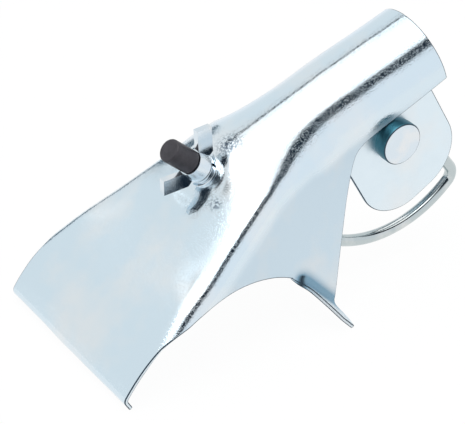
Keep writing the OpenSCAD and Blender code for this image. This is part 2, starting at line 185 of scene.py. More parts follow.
def node_material(name):
    """New material, and the tree of its nodes."""
    material = bpy.data.materials.new(name)
    material.use_nodes = True
    return material, material.node_tree


def own_place(tree):
    return put(tree, "ShaderNodeTexCoord").outputs["Object"]


print("node shorthand:", ", ".join(call.__name__ for call in (put, math_step, spread, blend, noise, ramp)))

# %% [markdown]
# ## Studio
# Bright metal looks like what it reflects. The photograph's sheet shows a white softbox overhead, pale
# walls behind, and a dark room on the camera's side between the table and the softbox, which draws the dark
# band along the near ridge. On the far side only a thin dark gap runs below the softbox and draws the fine
# line along the crown. The world paints those zones by direction for every ray but the camera's, which sees
# plain white.

# %% World
WHITE = (1, 1, 1, 1)
SOFTBOX = (1.45, 1.45, 1.45, 1)
WALL = (0.88, 0.91, 0.925, 1)
TABLE = (0.95, 0.97, 1.0, 1)
DARK = (0.012, 0.022, 0.035, 1)
EDGE = (0.08, 0.13, 0.17, 1)
FAR_GAP = [(0.862, WALL), (0.872, DARK), (0.893, DARK), (0.903, SOFTBOX)]
STUDIO_ZONES = {
    "near right": [(0.785, TABLE), (0.815, DARK), (0.90, DARK), (0.92, SOFTBOX)],
    "near left": [(0.55, TABLE), (0.61, DARK), (0.85, DARK), (0.89, SOFTBOX)],
    "far right": [(0.50, TABLE), (0.55, WALL)] + FAR_GAP,
    "far middle": [(0.36, TABLE), (0.40, EDGE), (0.56, EDGE), (0.60, WALL)] + FAR_GAP,
    "far left": [(0.40, TABLE), (0.50, WALL)]}
# where one zone gives way to the next: in a direction's x, then in its y and in its x / z
NEAR_TURN, FAR_TURN, LEFT_TURN = (-0.42, -0.12), (0.12, 0.22), (-0.45, -0.2)
BACK_TURN, SOFTBOX_EDGE = (-0.35, 0.1), (-0.66, -0.48)


def add_world():
    """Ramps by height for five sides of the room, blended by direction; x / z is the softbox's left edge."""
    world = bpy.data.worlds.new("studio")
    world.use_nodes = True
    tree = world.node_tree
    tree.nodes.clear()
    direction = put(tree, "ShaderNodeTexCoord").outputs["Generated"]
    x, y, z = put(tree, "ShaderNodeSeparateXYZ", {0: direction}).outputs
    height = spread(tree, z, -1, 1)
    zone = {name: ramp(tree, height, stops) for name, stops in STUDIO_ZONES.items()}

    def share(value, limits):
        return spread(tree, value, *limits, interpolation_type="SMOOTHSTEP")

    lean = math_step(tree, "DIVIDE", x, z)
    near = blend(tree, share(x, NEAR_TURN), zone["near left"], zone["near right"])
    left = blend(tree, share(lean, SOFTBOX_EDGE), zone["far left"], SOFTBOX)
    far = blend(tree, share(x, FAR_TURN), zone["far middle"], zone["far right"])
    far = blend(tree, share(x, LEFT_TURN), left, far)
    studio = blend(tree, share(y, BACK_TURN), near, far)
    camera_ray = put(tree, "ShaderNodeLightPath").outputs["Is Camera Ray"]
    background = put(tree, "ShaderNodeBackground", {"Color": blend(tree, camera_ray, studio, WHITE)})
    put(tree, "ShaderNodeOutputWorld", {"Surface": background})
    bpy.context.scene.world = world


add_world()
print("world with", len(STUDIO_ZONES), "zones")

# %% Floor and lamp
FLOOR_SIZE = 1.2
PAPER, PAPER_GLOW = (0.93, 0.94, 0.95, 1), 0.965
LAMP_SIZE, LAMP_POWER = (0.9, 0.7), 6
LAMP_PLACE, LAMP_AIM = (-0.25, -0.15, 1.3), (0, 0, 0.05)


def floor_material():
    """Paper that takes the shadow, and looks nearly white to the camera and in reflections."""
    material, tree = node_material("pale_floor")
    tree.nodes.clear()
    paper = put(tree, "ShaderNodeBsdfDiffuse", {"Color": PAPER})
    glow = put(tree, "ShaderNodeEmission")
    path = put(tree, "ShaderNodeLightPath").outputs
    seen = math_step(tree, "MAXIMUM", path["Is Camera Ray"], path["Is Glossy Ray"])
    share = math_step(tree, "MULTIPLY", seen, PAPER_GLOW)
    mix = put(tree, "ShaderNodeMixShader", {"Fac": share, 1: paper, 2: glow})
    put(tree, "ShaderNodeOutputMaterial", {"Surface": mix})
    return material


def add_floor():
    half = FLOOR_SIZE / 2
    corners = [(-half, -half, 0), (half, -half, 0), (half, half, 0), (-half, half, 0)]
    mesh = bpy.data.meshes.new("floor")
    mesh.from_pydata(corners, [], [(0, 1, 2, 3)])
    mesh.materials.append(floor_material())
    floor = linked("floor", mesh)


def add_softbox():
    data = bpy.data.lights.new("softbox", "AREA")
    data.shape = "RECTANGLE"
    data.size, data.size_y = LAMP_SIZE
    data.energy = LAMP_POWER
    lamp = linked("softbox", data)
    lamp.location = LAMP_PLACE
    lamp.rotation_euler = (Vector(LAMP_PLACE) - Vector(LAMP_AIM)).to_track_quat("Z", "Y").to_euler()


add_floor()
add_softbox()
bpy.context.scene.view_settings.view_transform = "Standard"

# %% [markdown]
# ## Bright zinc
# Zinc plate is a thin bright coat over the steel's own skin. Its colour drifts from bluish to faintly
# yellow in clouds, sparse fine pits break up reflections into speckles, and its polish varies in a fine
# mottle. Several pieces share it, so it is a node group with its own values in each material, and it only
# hands out a colour, a roughness and a normal.

# %% Zinc node group
ZINC_INPUTS = {"Base": (0.68, 0.79, 0.86, 1), "Warm": (0.86, 0.84, 0.82, 1), "Cloud Scale": 24,
               "Cloud Amount": 0.5, "Grain Scale": 1500, "Grain Depth": 0.1, "Rough Low": 0.07,
               "Rough High": 0.16}
ZINC_OUTPUTS = {"Color": "NodeSocketColor", "Roughness": "NodeSocketFloat", "Normal": "NodeSocketVector"}
CLOUD_EDGE, MOTTLE_EDGE, PIT_EDGE = (0.46, 0.66), (0.35, 0.7), (0.52, 0.64)
# a noise's scale, detail and roughness; the clouds and pits take their scale from the group's inputs
CLOUD_DETAIL, MOTTLE_NOISE, PIT_DETAIL = (4, 0.55), (140, 5, 0.6), (1, 0.5)
BUMP_HEIGHT = 0.001


def zinc_group():
    group = bpy.data.node_groups.new("bright_zinc", "ShaderNodeTree")
    for name, value in ZINC_INPUTS.items():
        kind = "NodeSocketColor" if isinstance(value, tuple) else "NodeSocketFloat"
        group.interface.new_socket(name, in_out="INPUT", socket_type=kind).default_value = value
    for name, kind in ZINC_OUTPUTS.items():
        group.interface.new_socket(name, in_out="OUTPUT", socket_type=kind)
    given = put(group, "NodeGroupInput").outputs
    place = own_place(group)
    clouds = noise(group, place, given["Cloud Scale"], *CLOUD_DETAIL)
    patch = math_step(group, "MULTIPLY", spread(group, clouds, *CLOUD_EDGE), given["Cloud Amount"])
    mottle = noise(group, place, *MOTTLE_NOISE)
    grain = noise(group, place, given["Grain Scale"], *PIT_DETAIL)
    pits = spread(group, grain, *PIT_EDGE, interpolation_type="SMOOTHSTEP")
    relief = {"Distance": BUMP_HEIGHT, "Strength": given["Grain Depth"], "Height": pits}
    put(group, "NodeGroupOutput", {
        "Color": blend(group, patch, given["Base"], given["Warm"]),
        "Roughness": spread(group, mottle, *MOTTLE_EDGE, given["Rough Low"], given["Rough High"]),
        "Normal": put(group, "ShaderNodeBump", relief)})
    return group


bright_zinc = zinc_group()
print("node group", bright_zinc.name, "with", len(ZINC_INPUTS), "inputs")

# %% Zinc materials


def zinc_material(name, **values):
    """Metal with the zinc group's colour, roughness and normal; values name the group's inputs."""
    material, tree = node_material(name)
    own = {key.replace("_", " "): value for key, value in values.items()}
    coat = put(tree, "ShaderNodeGroup", own, node_tree=bright_zinc).outputs
    feed(tree, tree.nodes["Principled BSDF"], {
        "Metallic": 1.0, "Base Color": coat["Color"], "Roughness": coat["Roughness"],
        "Normal": coat["Normal"]})
    return material


zinc_sheet = zinc_material("plated_sheet")
sheared_edge = zinc_material("cut_edge", Base=(0.72, 0.80, 0.85, 1), Grain_Scale=700, Grain_Depth=0.2,
                             Rough_Low=0.3, Rough_High=0.5)
# Painted shade: a near-black finish for bevels and rims, standing in for the thin dark line of shade and dark
# reflection along edges.
painted_edge_shade = zinc_material("edge_shadow", Base=(0.05, 0.08, 0.11, 1), Warm=(0.09, 0.11, 0.12, 1),
                          Grain_Scale=900, Grain_Depth=0.05, Rough_Low=0.35, Rough_High=0.5)
zinc_hardware = zinc_material("plated_hardware", Base=(0.70, 0.78, 0.84, 1), Cloud_Scale=90, Grain_Scale=2500,
                              Grain_Depth=0.03, Rough_Low=0.05, Rough_High=0.14)
zinc_wire = zinc_material("plated_wire", Base=(0.52, 0.58, 0.59, 1), Cloud_Scale=60, Grain_Scale=2200,
                          Grain_Depth=0.02, Rough_Low=0.06, Rough_High=0.14)
cheek_zinc = zinc_material("plated_cheek", Base=(0.76, 0.86, 0.92, 1), Rough_Low=0.3, Rough_High=0.42)
# Painted reflection: dark teal on the pin's turned sides stands in for the shade under the arch's wall that they
# reflect.
pin_side_painted_shade = zinc_material("pin_side_painted_shade", Base=(0.045, 0.16, 0.21, 1), Warm=(0.10, 0.25, 0.29, 1),
                           Cloud_Scale=110, Grain_Scale=2200, Grain_Depth=0.03, Rough_Low=0.3,
                           Rough_High=0.42)
satin_steel = zinc_material("satin_steel_finish", Base=(0.52, 0.56, 0.60, 1), Cloud_Scale=70,
                            Grain_Depth=0.05, Rough_Low=0.28, Rough_High=0.42)
print("zinc in", bright_zinc.users, "materials")

# %% [markdown]
# ## Painted shade and marks on the sheet
# The sheet isn't equally bright all over. Its colour carries painted shade in the flange's concave bend and a
# painted dark spot of reflected shade where that bend starts, it is speckled dark beside the bolt's seat, and it
# is satin on the walls that the die only brushed. Those places are fixed on the sheet, so its mesh carries them as
# attributes, and the sheet's two finishes read them on top of the zinc group.

# %% Painted shade and marks on the sheet's finishes
# Painted shade: these tints darken the plating in the flange's concave bend and at the dark spot where it starts.
BEND_SHADE_TINTS = [(0.0, WHITE), (0.5, (0.36, 0.52, 0.62, 1)), (1.0, (0.04, 0.06, 0.08, 1))]
SPECKLE_COLOUR, SPECKLE_NOISE, SPECKLE_EDGE = (0.11, 0.16, 0.22, 1), (750, 3, 0.65), (0.45, 0.55)
WALL_ROUGHNESS = 0.6


def show_painted_shade_and_marks(material):
    tree = material.node_tree
    metal = tree.nodes["Principled BSDF"]
    plating = metal.inputs["Base Color"].links[0].from_socket
    polish = metal.inputs["Roughness"].links[0].from_socket
    bend_shade, dark_speckle, satin = (put(tree, "ShaderNodeAttribute", attribute_name=name).outputs["Fac"]
                          for name in ("bend_shade", "dark_speckle", "satin"))
    # Painted shade multiplied into the plating's colour.
    shaded_plating = blend(tree, 1, plating, ramp(tree, bend_shade, BEND_SHADE_TINTS), blend_type="MULTIPLY")
    speckle = noise(tree, own_place(tree), *SPECKLE_NOISE)
    spots = spread(tree, speckle, *SPECKLE_EDGE, 0, dark_speckle)
    feed(tree, metal, {"Base Color": blend(tree, spots, shaded_plating, SPECKLE_COLOUR),
                       "Roughness": spread(tree, satin, 0, 1, polish, WALL_ROUGHNESS)})


# The sheet's faces and its cut rim both take the painted bend shade.
for finish in (zinc_sheet, sheared_edge):
    show_painted_shade_and_marks(finish)
print("marks show on", zinc_sheet.name, "and", sheared_edge.name)

# %% [markdown]
# ## Black vinyl
# The bolt's end cap is soft dipped vinyl: nearly black, a little purple, with a faint orange-peel skin and
# a dull sheen. One material uses it, so its nodes stay in the material.

# %% Vinyl material
DUST_NOISE, PEEL_NOISE, PEEL_DEPTH = (260, 5, 0.65), (1400, 2, 0.5), 0.12
DUST_SHADES = [(0.35, (0.026, 0.024, 0.03, 1)), (0.75, (0.05, 0.046, 0.055, 1))]
VINYL_ROUGHNESS, VINYL_SHEEN = (0.38, 0.56), 0.4


def vinyl_material():
    material, tree = node_material("dipped_vinyl")
    place = own_place(tree)
    dust = noise(tree, place, *DUST_NOISE)
    peel = noise(tree, place, *PEEL_NOISE)
    bump = put(tree, "ShaderNodeBump", {"Strength": PEEL_DEPTH, "Distance": BUMP_HEIGHT, "Height": peel})
    feed(tree, tree.nodes["Principled BSDF"], {
        "Specular IOR Level": VINYL_SHEEN, "Base Color": ramp(tree, dust, DUST_SHADES),
        "Roughness": spread(tree, dust, 0, 1, *VINYL_ROUGHNESS), "Normal": bump})
    return material


cap_vinyl = vinyl_material()
print("vinyl made")

# %% [markdown]
# ## The rule of the pressed sheet
# A press turns a flat blank into this shape in one stroke: a half-round arch at one end, a flat tongue with
# a turned lip at the other, and between them a section whose crown flattens and whose corners tighten as it
# widens. Modelling that by hand would need many guide curves. Its rule is short, though, so Geometry Nodes
# press the blank by that rule. The blank's outline needs the same rule as plain numbers, so each step works
# on numbers and on node fields alike.

# %% Arithmetic for numbers and for node fields
PLAIN = {"SINE": math.sin, "COSINE": math.cos, "POWER": pow, "SQRT": math.sqrt, "MINIMUM": min,
         "MAXIMUM": max}
SIGNS = {"add": "ADD", "sub": "SUBTRACT", "mul": "MULTIPLY", "truediv": "DIVIDE"}


class Field:
    """A number that Geometry Nodes work out at every point; arithmetic on it adds Math nodes to its tree."""

    def __init__(self, tree, socket):
        self.tree, self.socket = tree, socket


def calc(step, *values):
    """One step of a sum: at once on plain numbers, or as a Math node where a field takes part."""
    tree = next((v.tree for v in values if isinstance(v, Field)), None)
    if tree is None:
        return PLAIN[step](*values)
    return Field(tree, math_step(tree, step, *values))


for sign, step in SIGNS.items():
    setattr(Field, f"__{sign}__", lambda self, other, step=step: calc(step, self, other))
    setattr(Field, f"__r{sign}__", lambda self, other, step=step: calc(step, other, self))


def sine(angle):
    return calc("SINE", angle)


def cosine(angle):
    return calc("COSINE", angle)


def least(first, second):
    return calc("MINIMUM", first, second)


def most(first, second):
    return calc("MAXIMUM", first, second)


def between(value, low, high):
    return least(most(value, low), high)


print("the rule may use", ", ".join(PLAIN).lower())

# %% Sizes of the sheet, in millimetres and radians
SHEET = 2.0
SHEET_SIZES = {
    "Arch Radius": 26.2, "Arch Drop": math.radians(22.6), "Arch Length": 107.0, "Bend Middle": 26.0,
    "Bend Half": 10.5, "Tongue Reach": 105.0, "Tongue Bow": 3.0, "Bow Length": 75.0, "Lip Bend": 4.0,
    "Lip Angle": math.radians(78), "Ridge End": 60.0, "Ridge Half": 55.0, "Ridge Radius": 10.0,
    "Flare Start": 55.0, "Flare Power": 1.13, "Corner Fall": 2.6, "Crown Arc": math.radians(74),
    "Crown Fade": 1.5, "Seat Radius": 12.5, "Seat Blend": 9.0, "Flange Bend": 4.0,
    "Flange Open": math.radians(9)}
LEAST_CROWN = math.radians(0.1)
TILT_LAG = 4.0
BOW_PEAK = 6.75  # t (1 - t)^2 is at most 1 / 6.75


def size_name(name):
    return name.lower().replace(" ", "_")


sheet = SimpleNamespace(**{size_name(name): value for name, value in SHEET_SIZES.items()})
U_END = sheet.bend_middle + sheet.arch_length
LIP_START = math.atan(BOW_PEAK * sheet.tongue_bow / sheet.bow_length)
print(len(SHEET_SIZES), "sizes; the arch is", round(2 * (sheet.arch_radius - SHEET), 1), "mm across inside")

# %% Crown line and section


def crown_line(s, u):
    """Crown (c, d) and its turn at the distance u along it: lip, bowed tongue, bend, straight arch."""
    ahead = most(0 - u - s.tongue_reach, 0)
    lip = least(ahead / s.lip_bend + LIP_START, s.lip_angle)
    lip_end = most(ahead - s.lip_bend * (s.lip_angle - LIP_START), 0)
    t = between((u + s.tongue_reach) / s.bow_length, 0, 1)
    bow = BOW_PEAK * s.tongue_bow * t * (1 - t) * (1 - t)
    bend = s.arch_drop / (2 * s.bend_half)
    turn = between((u - s.bend_middle + s.bend_half) * bend, 0, s.arch_drop)
    past = most(u - s.bend_middle - s.bend_half, 0)
    level = between(u, 0 - s.tongue_reach, s.bend_middle - s.bend_half)
    c = (level + s.lip_bend * (math.sin(LIP_START) - sine(lip)) - lip_end * cosine(lip)
         + sine(turn) / bend + past * cosine(s.arch_drop))
    d = (bow + s.lip_bend * (cosine(lip) - math.cos(LIP_START)) - lip_end * sine(lip)
         - (1 - cosine(turn)) / bend - past * sine(s.arch_drop))
    return c, d, turn


def section(s, u):
    """Crown arc, corner arc and wall of the section at u."""
    c, d, turn = crown_line(s, u)
    tilt_start = s.flare_start + TILT_LAG
    tilt = s.arch_drop * between((u - tilt_start) / (s.bend_middle + s.arch_length - tilt_start), 0, 1)
    flare = most((s.flare_start - c) / (s.flare_start + s.ridge_end), 0)
    half = s.arch_radius + (s.ridge_half - s.arch_radius) * calc("POWER", flare, s.flare_power)
    corner = s.arch_radius - (s.arch_radius - s.ridge_radius) * least(s.corner_fall * flare, 1)
    left = most(1 - flare, 0)
    arc = most(s.crown_arc * calc("POWER", left, s.crown_fade), LEAST_CROWN)
    radius = (half - corner * (1 - sine(arc))) / sine(arc)
    return SimpleNamespace(c=c, d=d, tilt=tilt, half=half, corner=corner, arc=arc, radius=radius,
                           stretch=1 / cosine(turn - tilt), crown_len=radius * arc,
                           corner_len=corner * (math.pi / 2 - arc))


print("half width at the bolt", round(section(sheet, 0.0).half, 2), "mm,",
      "at the arch", section(sheet, U_END).half, "mm")

# %% One point of the pressed skin
BEND_FRONT = 7.6
leg_turn = math.atan(section(sheet, -BEND_FRONT).half - section(sheet, 1 - BEND_FRONT).half)
FLANGE_TURN = math.pi / 2 - leg_turn - sheet.flange_open


def skin_point(s, u, w, q):
    """Outer skin (c, y, d) at u along the crown, w along the section and q round the foot flange's bend."""
    k = section(s, u)
    on_crown = least(w / k.radius, k.arc)
    over = most(w - k.crown_len, 0)
    on_corner = least(over / k.corner + k.arc, math.pi / 2)
    half_sine = sine(on_crown / 2)
    y = k.radius * sine(on_crown) + k.corner * (sine(on_corner) - sine(k.arc))
    crown_dip = 2 * k.radius * half_sine * half_sine
    dip = crown_dip + k.corner * (cosine(k.arc) - cosine(on_corner))
    down = k.stretch * dip + most(over - k.corner_len, 0)
    c = k.c - down * sine(k.tilt)
    d = k.d - down * cosine(k.tilt)
    back = c - BOLT_BACK
    t = between((s.seat_radius + s.seat_blend - calc("SQRT", back * back + y * y)) / s.seat_blend, 0, 1)
    d = d + (back * math.tan(BOLT_LEAN) - d) * (t * t * (3 - 2 * t))
    bent = least(q / s.flange_bend, FLANGE_TURN)
    run = most(q - s.flange_bend * FLANGE_TURN, 0)
    facing = math.pi / 2 - leg_turn - bent
    c = c + s.flange_bend * (math.sin(leg_turn) - cosine(facing)) - run * sine(s.flange_open)
    y = y + s.flange_bend * (math.cos(leg_turn) - sine(facing)) + run * cosine(s.flange_open)
    return c, y, d


print("leg flares by", round(math.degrees(leg_turn), 1), "degrees at its front")

# %% [markdown]
# ## The blank
# The blank is drawn flat: u runs along the crown line, v across the section, and the strip that becomes the
# foot's flange stands up by its own length q. Its side edge is an arc-shaped notch that ends at the leg,
# then the leg's rear edge, then the arch's wall, which deepens toward the leg. The flange starts from
# nothing at the notch's end and widens toward the foot, as a turned edge does. Columns are dense round the
# corners and sparse on the flats.

# %% Edges of the blank
TONGUE_HALF, RUNOUT = 54.0, 16.0
NOTCH_R, NOTCH_AHEAD, NOTCH_BELOW, NOTCH_END = 79.9, 88.7, 78.7, -13.0
LEG_FRONT, LEG_REAR_RISE, LEG_LIFT, LEG_SOFT = 12.4, 0.67, 4.0, 8.0
DOWN_LEG = 75.0
ARCH_WALL, ARCH_WALL_GAIN = 29.0, 0.068
FLANGE_REACH = 56.5
FLOOR_D = tongue_zero.z / MM
arc_end = skin_point(sheet, -BEND_FRONT, DOWN_LEG, sheet.flange_bend * FLANGE_TURN)
FLANGE_LEN = sheet.flange_bend * FLANGE_TURN + (FLANGE_REACH - arc_end[1]) / math.cos(sheet.flange_open)


def floor_depth(q):
    """Depth below the tongue at which the flange's front face meets the floor."""
    c = skin_point(sheet, -BEND_FRONT, DOWN_LEG, q)[0] - SHEET * math.cos(sheet.flange_open)
    return (FLOOR_D + c * math.sin(TONGUE_SLOPE)) / math.cos(TONGUE_SLOPE)


def along_section(u, depth):
    """Distance across the section at which the sheet is this far below the crown."""
    k = section(sheet, u)
    crown_dip = k.stretch * k.radius * (1 - math.cos(k.arc))
    corner_dip = k.stretch * k.corner * math.cos(k.arc)
    if depth < crown_dip:
        return k.radius * math.acos(1 - depth / (k.stretch * k.radius))
    if depth < crown_dip + corner_dip:
        turned = math.acos(math.cos(k.arc) - (depth - crown_dip) / (k.stretch * k.corner))
        return k.crown_len + k.corner * (turned - k.arc)
    return k.crown_len + k.corner_len + depth - crown_dip - corner_dip


def notch_edge(u):
    at = max(u, -sheet.ridge_end)
    rise = math.sqrt(NOTCH_R ** 2 - (at + NOTCH_AHEAD) ** 2)
    arc = along_section(at, crown_line(sheet, at)[1] + NOTCH_BELOW - rise)
    return TONGUE_HALF + (arc - TONGUE_HALF) * between(1 + (u - at) / RUNOUT, 0, 1)


def leg_edge(u):
    c, d, _ = crown_line(sheet, u)
    leg = d + floor_depth(FLANGE_LEN) - LEG_LIFT - LEG_REAR_RISE * (c + LEG_FRONT)
    wall = ARCH_WALL + ARCH_WALL_GAIN * (U_END - u)
    return along_section(u, (leg + wall + math.hypot(leg - wall, LEG_SOFT)) / 2)


print("flange is", round(FLANGE_LEN, 1), "mm of sheet; its foot is", round(floor_depth(FLANGE_LEN), 2),
      "mm below the tongue")

# %% Rows and columns of the blank
N_CROWN, N_CORNER, N_WALL, N_LOWER, N_FLANGE = 14, 18, 12, 26, 16
N_UPPER = N_CROWN + N_CORNER + N_WALL
CROWN_SHARE, CORNER_SHARE = 0.4, 0.7
LIP_ROWS, LIP_BEND_ROWS, TONGUE_ROWS, FLANGE_BEND_ROWS, ARCH_ROWS = 4, 11, 78, 5, 112
LIP_LEN = 4.5
lip_total = LIP_LEN + sheet.lip_bend * (sheet.lip_angle - LIP_START)


def columns(u, edge):
    """Places across one row: the crown's, the corner's and the wall's share of the way to the edge."""
    k = section(sheet, u)
    a = min(k.crown_len, CROWN_SHARE * edge)
    b = min(k.crown_len + k.corner_len, a + CORNER_SHARE * (edge - a))
    return np.concatenate([np.linspace(0, a, N_CROWN, False), np.linspace(a, b, N_CORNER, False),
                           np.linspace(b, edge, N_WALL + 1)])


def ease(t):
    t = between(t, 0.0, 1.0)
    return t * t * (3 - 2 * t)


leg_share = notch_edge(NOTCH_END) / leg_edge(NOTCH_END)
lip_u = np.concatenate([np.linspace(-lip_total, -lip_total + LIP_LEN, LIP_ROWS)[:-1],
                        np.linspace(LIP_LEN - lip_total, 0, LIP_BEND_ROWS)])
front_u = np.concatenate([lip_u[:-1] - sheet.tongue_reach,
                          np.linspace(-sheet.tongue_reach, NOTCH_END, TONGUE_ROWS)])
bend_u = np.linspace(NOTCH_END, -BEND_FRONT, FLANGE_BEND_ROWS)
rear_u = np.concatenate([bend_u[1:], np.linspace(-BEND_FRONT, U_END, ARCH_ROWS)[1:]])
print(len(front_u), "rows ahead of the leg,", len(rear_u), "behind,", 2 * (N_UPPER + N_LOWER) + 1, "columns")

# %% Points of the blank
FLANGE_START, FLANGE_GROWTH, DROP_SHARE = 0.4, 1.3, 0.75


def leg_column(j):
    """Where the flange's bend starts at lower column j, and how much flange stands there."""
    t = j / N_LOWER
    left = max(1 - t / FLANGE_START, 0)
    return -BEND_FRONT + (NOTCH_END + BEND_FRONT) * left * left, FLANGE_LEN * min(1, FLANGE_GROWTH * t)


def lower_v(u, t, drop=0.0):
    edge = leg_edge(u)
    return edge * leg_share + (edge + drop - edge * leg_share) * t


def blank_points():
    """Flat (u, v, q) of every point on one side, by row and column, or by flange row and column."""
    points = {}
    for i, u in enumerate(np.concatenate([front_u, rear_u])):
        u = float(u)
        ahead = i < len(front_u)
        for j, v in enumerate(columns(u, notch_edge(u) if ahead else leg_edge(u) * leg_share)):
            points[i, j] = (u, v, 0.0)
        step = i - len(front_u) + 1
        for j in range(1, N_LOWER + 1) if step >= 0 else ():
            at = u
            if step < len(bend_u):
                first = leg_column(j)[0]
                at = first + (-BEND_FRONT - first) * step / (len(bend_u) - 1)
            points[i, N_UPPER + j] = (at, lower_v(at, j / N_LOWER), 0.0)
    start = len(front_u) - 1
    foot_depth = -skin_point(sheet, -BEND_FRONT, leg_edge(-BEND_FRONT), 0.0)[2]
    for j in range(1, N_LOWER + 1):
        at, length = leg_column(j)
        for n in range(1, N_FLANGE + 1):
            q = length * n / N_FLANGE
            drop = (floor_depth(q) - foot_depth) * ease(q / (DROP_SHARE * FLANGE_LEN))
            points["flange", n, N_UPPER + j] = (at, lower_v(at, j / N_LOWER, drop), q)
        points["flange", 0, N_UPPER + j] = points[start, N_UPPER + j]
    return points


flat_points = blank_points()
print(len(flat_points), "points on one side")

# %% [markdown]
# Each point also carries four marks. Bend shade says how much painted shade falls on it in the flange's concave
# bend and at the painted dark spot where that bend starts, dark speckle says how densely it is speckled dark,
# satin says how far down the wall it lies, and supple says how far the press may soften the shape there.

# %% Painted shade and marks of the blank
# Painted shade along the flange's concave bend, and a painted dark spot of reflected shade where the bend starts.
BEND_SHADE_FADE, BEND_SHADE_REACH, BEND_SHADE_COLUMNS, BEND_SHADE_SHARE = 5.0, 9.0, 4, 0.5
DARK_SPOT_U, DARK_SPOT_DEPTH, DARK_SPOT_SIZE = -9.9, 59.7, 1.5
SPECKLE_PATCHES = [(19.0, -3.0, 10.0), (-7.6, -19.1, 5.0)]
SATIN_FADE = 6.0
SUPPLE_FROM, SUPPLE_RISE, SUPPLE_TO, SUPPLE_FALL = 24, 8, 80, 20
dark_spot_v = along_section(DARK_SPOT_U, DARK_SPOT_DEPTH)


def bend_shade_mark(key, u, v, q):
    """How much painted shade a blank point takes: half along the flange's concave bend, and most at the dark spot
    where the bend starts.
    """
    across = key[-1] - N_UPPER
    painted_shade = math.exp(-((u - DARK_SPOT_U) ** 2 + (v - dark_spot_v) ** 2) / DARK_SPOT_SIZE ** 2)
    if across > 0:
        behind = max(u - leg_column(across)[0], 0) / BEND_SHADE_FADE
        ahead = max(q - sheet.flange_bend * FLANGE_TURN, 0) / BEND_SHADE_REACH
        painted_shade += BEND_SHADE_SHARE * max(1 - behind - ahead, 0) ** 2 * ease(across / BEND_SHADE_COLUMNS)
    return min(painted_shade, 1)


def speckle_mark(u, v):
    """How densely the sheet is speckled dark at u, v."""
    return max(1 - ease(math.hypot(u - at, v - side) / size) for at, side, size in SPECKLE_PATCHES)


def satin_mark(u, v):
    """How far down the wall a blank point lies: 0 on crown and corner, 1 a little way below."""
    k = section(sheet, max(u, -sheet.ridge_end))
    return ease((v - k.crown_len - k.corner_len) / SATIN_FADE)


def supple_mark(key, u):
    """How far the press may soften a blank point: fully round the bend, not at all at seat and edges."""
    along = ease((u - SUPPLE_FROM) / SUPPLE_RISE) * ease((SUPPLE_TO - u) / SUPPLE_FALL)
    return along * ease((N_UPPER - key[-1]) / N_WALL)


print(len(SPECKLE_PATCHES), "speckle_patches; the bend's painted_dark_spot lies", round(dark_spot_v, 1), "mm across")

# %% The blank's mesh


def blank_mesh():
    index, place, faces = {}, [], []
    marks = {"bend_shade": [], "dark_speckle": [], "satin": [], "supple": []}
    for key, (u, v, q) in flat_points.items():
        for side in (1, -1) if key[-1] > 0 else (1,):
            index[key, side] = len(place)
            place.append((u * MM, side * v * MM, q * MM))
            marks["bend_shade"].append(bend_shade_mark(key, u, v, q))
            marks["dark_speckle"].append(speckle_mark(u, side * v))
            marks["satin"].append(satin_mark(u, v))
            marks["supple"].append(supple_mark(key, u))

    def at(key, side):
        if key[0] == "flange" and key[1] == 0:
            key = (len(front_u) - 1, key[2])
        return index[key, side if key[-1] else 1]

    def add_face(keys):
        for side in (1, -1):
            corners = [at(key, side) for key in keys]
            faces.append(corners[::side])

    for i in range(len(front_u) + len(rear_u) - 1):
        for j in range(N_UPPER if i < len(front_u) - 1 else N_UPPER + N_LOWER):
            add_face([(i, j), (i + 1, j), (i + 1, j + 1), (i, j + 1)])
    for n in range(N_FLANGE):
        for j in range(N_UPPER, N_UPPER + N_LOWER):
            first = [("flange", n + 1, j), ("flange", n, j)] if j > N_UPPER else [(len(front_u) - 1, j)]
            add_face(first + [("flange", n, j + 1), ("flange", n + 1, j + 1)])
    mesh = bpy.data.meshes.new("blank")
    mesh.from_pydata(place, [], faces)
    for name, values in marks.items():
        mesh.attributes.new(name, "FLOAT", "POINT").data.foreach_set("value", values)
    return mesh


blank = blank_mesh()
print("blank", len(blank.vertices), "points,", len(blank.polygons), "faces")

# %% [markdown]
# ## The press
# The press is one Geometry Nodes tree. It reads each blank point's u, v and q, works out the rule with Math
# nodes, and sets the point's place in the world. A Blur Attribute node rounds the bend where the sheet is
# supple, and a slow noise moves the skin by tenths of a millimetre, since no pressed sheet is perfectly
# even. The result is a skin without thickness, so ordinary modifiers finish it further down.

# %% Geometry Nodes trees
WAVE_NOISE = (24, 1, 0.5)


def tree_with(name, inputs):
    """Geometry Nodes tree with these inputs, the sockets that hold them, and the tree's output node."""
    tree = bpy.data.node_groups.new(name, "GeometryNodeTree")
    tree.interface.new_socket("Geometry", in_out="INPUT", socket_type="NodeSocketGeometry")
    for label, value in inputs.items():
        kind = "NodeSocketInt" if isinstance(value, int) else "NodeSocketFloat"
        tree.interface.new_socket(label, in_out="INPUT", socket_type=kind).default_value = value
    tree.interface.new_socket("Finish", in_out="INPUT", socket_type="NodeSocketMaterial")
    tree.interface.new_socket("Geometry", in_out="OUTPUT", socket_type="NodeSocketGeometry")
    return tree, put(tree, "NodeGroupInput").outputs, put(tree, "NodeGroupOutput")


def end_tree(tree, geometry, finish, out):
    """Realize Instances and Set Material, as the last two nodes."""
    real = put(tree, "GeometryNodeRealizeInstances", {"Geometry": geometry})
    paint = put(tree, "GeometryNodeSetMaterial", {"Geometry": real, "Material": finish})
    feed(tree, out, {"Geometry": paint})
    return tree


